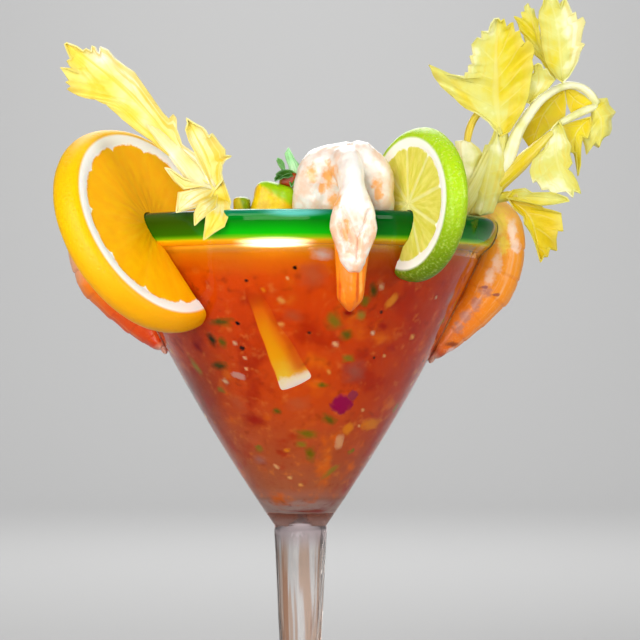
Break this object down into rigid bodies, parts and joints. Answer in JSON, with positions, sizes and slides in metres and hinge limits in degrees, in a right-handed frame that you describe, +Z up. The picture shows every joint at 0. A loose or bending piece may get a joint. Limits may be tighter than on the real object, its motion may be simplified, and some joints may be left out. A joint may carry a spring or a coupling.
{
  "type": "cup of shrimp cocktail",
  "caption": "Stemmed green-rimmed glass full of shrimp cocktail, with shrimp, citrus wheels and celery hung on the rim and diced avocado on top.",
  "frame": {"origin": "centre of the foot's flat underside", "axes": "+Z up along the glass's axis, -Y towards the shown front, +X to the right of the picture"},
  "size_m": [0.1787, 0.1341, 0.2513],
  "materials": {
    "clear_glass": "clear, smooth, hand blown",
    "green_glass": "deep green, smooth and glossy",
    "cocktail_sauce": "wet orange-red tomato sauce with cut vegetables and herbs in it",
    "orange": "moist orange pulp, white pith, waxy pored rind",
    "lime": "pale moist segments, green pored glossy rind",
    "shrimp": "wet cooked meat, white with orange bands, and a horny tail",
    "celery": "pale yellow-green leaves and whitish ribbed stalk",
    "avocado": "soft yellow-green flesh, greener towards its skin side",
    "tomato": "wet red dice",
    "herb": "soft green leaf"
  },
  "bodies": {
    "root": {"glass": "clear_glass", "rim": "green_glass", "cocktail": "cocktail_sauce", "orange_wheel": "orange", "lime_wheel": "lime", "shrimp_front": "shrimp", "shrimp_left": "shrimp", "shrimp_right": "shrimp", "celery_left": "celery", "celery_right": "celery", "avocado_chunk": "avocado", "avocado_piece": "avocado", "tomato_dice": "tomato", "cilantro": "herb"}
  },
  "joints": []
}
